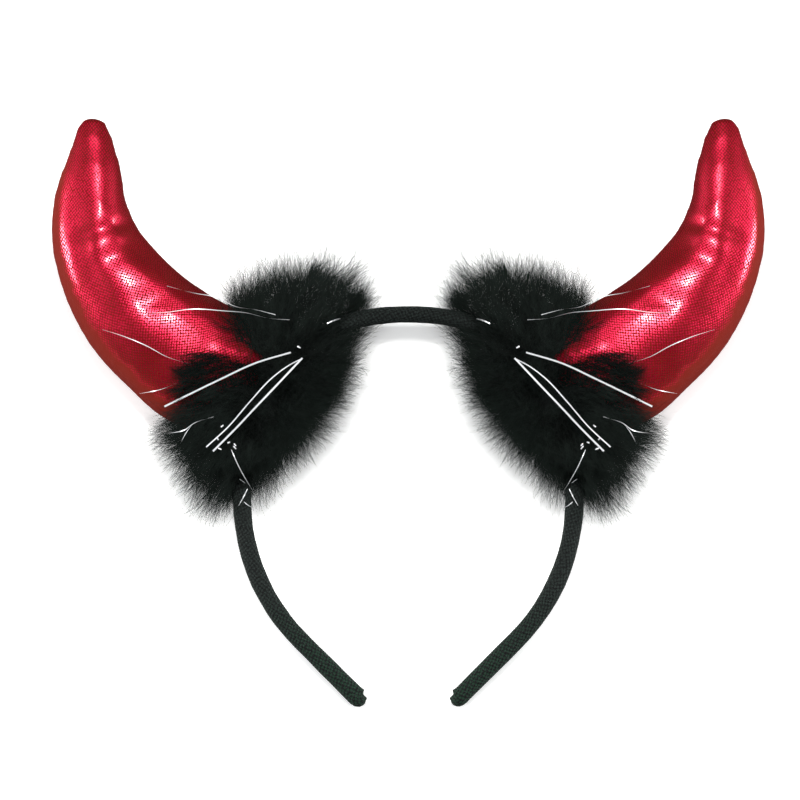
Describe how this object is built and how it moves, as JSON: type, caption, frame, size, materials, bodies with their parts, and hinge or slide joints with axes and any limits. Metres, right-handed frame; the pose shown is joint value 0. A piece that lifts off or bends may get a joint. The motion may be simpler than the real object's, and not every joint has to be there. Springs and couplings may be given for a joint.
{
  "type": "devil horns headband",
  "caption": "Covered hoop headband with curved stuffed horns and fluffy collars round their bases.",
  "frame": {"origin": "middle of the footprint, on the surface that the headband lies on", "axes": "+X to the wearer's left, as seen from the front the picture's right; +Y from the tips of the hoop towards its crown and the horns; +Z out of the front, away from the surface"},
  "size_m": [0.2724, 0.2234, 0.0444],
  "materials": {
    "knit_sleeve": "matte",
    "foil_knit": "gloss",
    "marabou": "matte"
  },
  "bodies": {
    "root": {"headband": "knit_sleeve", "horn_left": "foil_knit", "horn_right": "foil_knit", "marabou_left": "marabou", "marabou_right": "marabou"}
  },
  "joints": []
}
